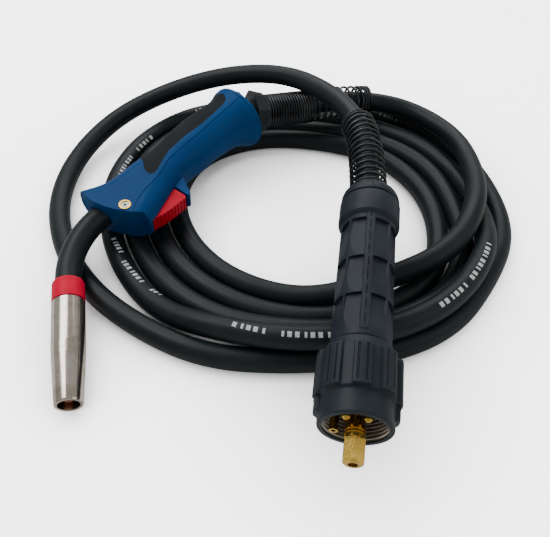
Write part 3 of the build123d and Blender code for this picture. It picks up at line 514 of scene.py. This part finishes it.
def cable_at(s):
    """Point and direction on the cable's line, s metres from its start."""
    import bisect
    i = min(max(bisect.bisect_right(CLEN, s) - 1, 0), len(CL) - 2)
    f = (s - CLEN[i]) / (CLEN[i + 1] - CLEN[i])
    return CL[i].lerp(CL[i + 1], f), (CL[i + 1] - CL[i]).normalized()


# ---------------------------------------------------------------- support springs
def spring_points(axis_at, s0, s1, pitch_at, mean_at, side):
    """Wire of a spring about a bent axis; axis_at(s) gives point and direction, s in mm."""
    pts, s, t = [], s0, 0.0
    while s < s1:
        p, d = axis_at(s)
        x = (side - d * side.dot(d)).normalized()
        y = d.cross(x)
        r = mean_at(s) * MM
        pts.append(p + x * r * cos(t) + y * r * sin(t))
        t += 2 * pi / 26
        s += pitch_at(s) / 26
    return pts


def handle_axis(s):
    base = TAIL.at(0, 0, s)
    f = min(max((s - 62.0) / 20.0, 0.0), 1.0)
    f = f * f * (3 - 2 * f)
    p, d = cable_at((s - 12.0) * MM)
    dirn = (TAIL.z.lerp(d, 0.5 * f)).normalized()
    return base.lerp(p, 0.55 * f), dirn


def close_open_close(s):
    if s < 61.0:
        return 2.25
    if s < 68.0:
        return 2.25 + (6.3 - 2.25) * (s - 61.0) / 7.0
    if s < 104.0:
        return 6.3
    return max(2.3, 6.3 - (s - 104.0) * 0.55)


sp_pts = spring_points(handle_axis, 23.6, 117.5, close_open_close, lambda s: 12.1 - 0.9 * max(0.0, (s - 60) / 60), TAIL.x)
curve_wire("handle_spring_wire", sp_pts, 0.00096, MATS["spring_steel"], "torch", ["handle_spring"])

total = CLEN[-1]


def plug_axis(s):
    """s in mm from the cap's mouth, back along the cable."""
    return (lambda q: (q[0], -q[1]))(cable_at(total - (23.5 + s) * MM))


def plug_pitch(s):
    if s < 2.0:
        return 2.3
    if s > 68.0:
        return max(2.3, 5.6 - (s - 68.0) * 0.6)
    return 5.6


sp_pts = spring_points(plug_axis, -7.5, 75.0, plug_pitch, lambda s: 11.1, PLUG.x)
curve_wire("plug_spring_wire", sp_pts, 0.00096, MATS["spring_steel"], "torch", ["plug_spring"], True)


# ---------------------------------------------------------------- plug housing: panels cut flat and deeper to the back
HR, FR = 16.3, 18.4
ROWS = ((66.0, 88.0), (91.0, 113.5), (116.5, 142.0))
RIBS = [k * 45.0 for k in range(8)]


def housing_radius(t, s, r):
    if r < HR - 0.05:
        return r
    deg = math.degrees(t) % 360.0
    k = int(((deg + 22.5) % 360.0) // 45.0)          # nearest rib
    off = (deg - k * 45.0 + 180.0) % 360.0 - 180.0
    half = 9.5 if k in (0, 4) else 3.0
    out = r
    for lo, hi in ROWS:
        if lo <= s <= hi:
            f = (s - lo) / (hi - lo)
            depth = 0.25 + 1.75 * f
            if abs(off) > half:
                centre = (k * 45.0 + (22.5 if off > 0 else -22.5))
                dd = abs((deg - centre + 180.0) % 360.0 - 180.0)
                cut = (HR - depth) / cos(radians(dd))
                out = min(out, max(cut, HR - 2.4))
    # central rib on top and below stands a little proud, with the parting line in it
    if k in (0, 4) and 65.0 <= s <= 146.0:
        if abs(off) < 8.5:
            out = max(out, HR + 0.35)
        if abs(off) < 0.9 and int(s / 3.1) % 3 != 0:
            out -= 0.45
    return out


def lines(lo, hi, step, keys):
    """Stations from lo to hi with a close pair at every key."""
    out = []
    n = int((hi - lo) / step)
    out += [lo + (hi - lo) * i / n for i in range(n + 1)]
    for k in keys:
        out += [k - 0.08, k + 0.08]
    return sorted(set(round(v, 3) for v in out if lo <= v <= hi))


keys = [v for row in ROWS for v in row]
rings = [(66.0, 11.4), (66.0, 13.6), (150.0, 13.6), (157.5, 14.3), (164.0, 14.3), (164.1, 17.2), (163.9, 17.7), (163.3, FR - 0.1), (162.6, FR)]
rings += [(155.0, FR), (148.4, FR), (147.6, FR - 0.15), (147.0, FR - 0.6), (146.4, HR + 1.0), (145.8, HR + 0.45), (145.4, HR)]
rings += [(s, HR) for s in reversed(lines(62.4, 145.2, 0.75, keys))]
rings += [(62.0, HR - 0.15), (61.6, HR - 0.6), (61.5, 13.2), (62.2, 13.1), (62.2, 11.4)]
v, f = turned(PLUG, rings, 288, housing_radius)
mesh_piece("plug_housing_shells", v, f, MATS["housing_slate"], "torch", 22.0, ["plug_housing_left", "plug_housing_right"], True)

# relief cap: dome with a fine parting line
def cap_radius(t, s, r):
    deg = math.degrees(t) % 180.0
    if r > 13.5 and (deg < 0.9 or deg > 179.1):
        return r - 0.3
    return r


rings = [(160.2, 13.35), (160.2, 13.95), (164.7, 13.95), (164.9, 17.4), (165.1, 17.85), (165.6, 18.0), (166.6, 17.95)]
rings += [(166.6 + 7.4 * sin(a), 13.4 + 4.55 * cos(a)) for a in [radians(6 * i) for i in range(1, 15)]]
rings += [(174.3, 13.3), (174.35, 12.95), (174.0, 12.8), (172.0, 12.8), (171.0, 13.35)]
v, f = turned(PLUG, rings, 400, cap_radius)
mesh_piece("relief_cap_dome", v, f, MATS["housing_slate"], "torch", 30.0, ["relief_cap"], True)


# ---------------------------------------------------------------- hand wheel
def smooth(e0, e1, x):
    x = min(max((x - e0) / (e1 - e0), 0.0), 1.0)
    return x * x * (3 - 2 * x)


def wheel_radius(t, s, r):
    if r < 18.9:
        return r
    deg = math.degrees(t) % 360.0
    out = r
    if 30.4 <= s <= 55.4:
        k = round(deg / 40.0)
        off = abs((deg - k * 40.0 + 180.0) % 360.0 - 180.0)
        lobe = 1.0 - smooth(11.2, 13.0, off)
        f = smooth(30.6, 31.6, s) * (1.0 - smooth(54.3, 55.4, s))
        out = r + lobe * 1.95 * f
        if off < 6.4 and off > 4.6 and 33.0 < s < 53.0:      # paired grooves along each lobe
            out -= 0.7
    if 20.0 <= s < 30.7:                                       # two wings run forward along the collar
        for c in (90.0, 270.0):
            off = abs((deg - c + 180.0) % 360.0 - 180.0)
            out += 2.3 * (1.0 - smooth(11.0, 13.5, off)) * smooth(22.0, 24.0, s)
    return out


rings = [(17.5, 16.3), (17.45, 18.0), (17.6, 18.55), (18.0, 18.85), (18.5, 19.0)]
rings += [(s, 19.0) for s in lines(19.5, 29.8, 0.8, [])]
rings += [(30.3, 19.3), (30.8, 20.0), (31.3, 20.4)]
rings += [(s, 20.45) for s in lines(31.8, 54.2, 0.5, [])]
rings += [(54.8, 20.3), (55.3, 20.0), (55.9, 19.3), (56.2, 18.4), (60.4, 17.6), (60.6, 17.3), (60.6, 13.1), (57.6, 13.1), (57.6, 16.0), (33.3, 16.0), (33.3, 17.5), (18.7, 17.5), (18.65, 16.3)]
v, f = turned(PLUG, rings, 360, wheel_radius)
mesh_piece("handwheel_grip", v, f, MATS["wheel_grey"], "handwheel", 24.0, ["handwheel"], True)


# ---------------------------------------------------------------- plain white ticks printed along the cable, with a darker painted-shade copy of the print on the strand in the handle's shadow
def ticks(verts, faces, s0, s1, a0, a1, count, height=0.0033):
    """count short bars from s0 to s1 (m along the cable), turned from a0 to a1 degrees about it."""
    step = (s1 - s0) / count
    for q in range(count):
        w = step * (0.62 if (q * 7) % 3 else 0.36)
        n_s, n_a = 5, 8
        base = len(verts)
        for i in range(n_s + 1):
            f = (q * step + abs(w) * 0.0 + w * i / n_s) / (s1 - s0)
            p, d = cable_at(s0 + (s1 - s0) * f)
            x = (Vector((0, -0.5, 0.86)) - d * d.dot(Vector((0, -0.5, 0.86)))).normalized()
            y = d.cross(x)
            turn = radians(a0 + (a1 - a0) * f)
            for j in range(n_a + 1):
                a = turn + (j / n_a - 0.5) * height / 0.0075
                verts.append(p + (x * cos(a) + y * sin(a)) * 0.00756)
        for i in range(n_s):
            for j in range(n_a):
                b0 = base + i * (n_a + 1) + j
                faces.append((b0, b0 + 1, b0 + n_a + 2, b0 + n_a + 1))


m_print, nt, b = new_mat("white_print")
vv = coords(nt)
nt.links.new(ramp(nt, noise(nt, vv, 900.0, 4.0, 0.7), [(0.3, (0.55, 0.57, 0.58)), (0.6, (0.8, 0.81, 0.82))]), b.inputs["Base Color"])
b.inputs["Roughness"].default_value = 0.6

# a darker copy of the white print: painted shade for the ticks on the strand lying in the handle's shadow at the back
# of the bundle
m_print_painted_shade, nt, b = new_mat("white_print_painted_shade")
vv = coords(nt)
nt.links.new(ramp(nt, noise(nt, vv, 700.0, 4.0, 0.7), [(0.35, (0.05, 0.06, 0.065)), (0.65, (0.3, 0.31, 0.32))]), b.inputs["Base Color"])
b.inputs["Roughness"].default_value = 0.6

verts, faces = [], []
for run in ((2.408, 2.4458, 1, 1, 9), (2.4505, 2.4770, 1, 1, 6), (2.6600, 2.6700, 62, 44, 3), (2.6785, 2.7050, 38, 14, 7), (2.7115, 2.7290, 26, 10, 5),
            (2.5440, 2.5735, 2, 6, 7), (2.5800, 2.6015, 10, 24, 5), (2.8035, 2.8325, 28, 32, 7), (2.8405, 2.8650, 32, 30, 5), (2.9160, 2.9235, -2, -4, 2)):
    ticks(verts, faces, *run)
mesh_piece("cable_ticks", verts, faces, m_print, "torch", 60.0, (), True)
# ticks on the strand in the handle's shadow, in the print's painted-shade copy
verts, faces = [], []
for run in ((3.1180, 3.1300, 2, 14, 3), (3.1360, 3.1655, 12, 34, 7), (3.1715, 3.1890, 42, 56, 5), (3.0710, 3.0800, -14, 4, 2), (3.0830, 3.1020, 14, 34, 5)):
    ticks(verts, faces, *run, height=0.0022)
mesh_piece("cable_ticks_painted_shade", verts, faces, m_print_painted_shade, "torch", 60.0, (), True)
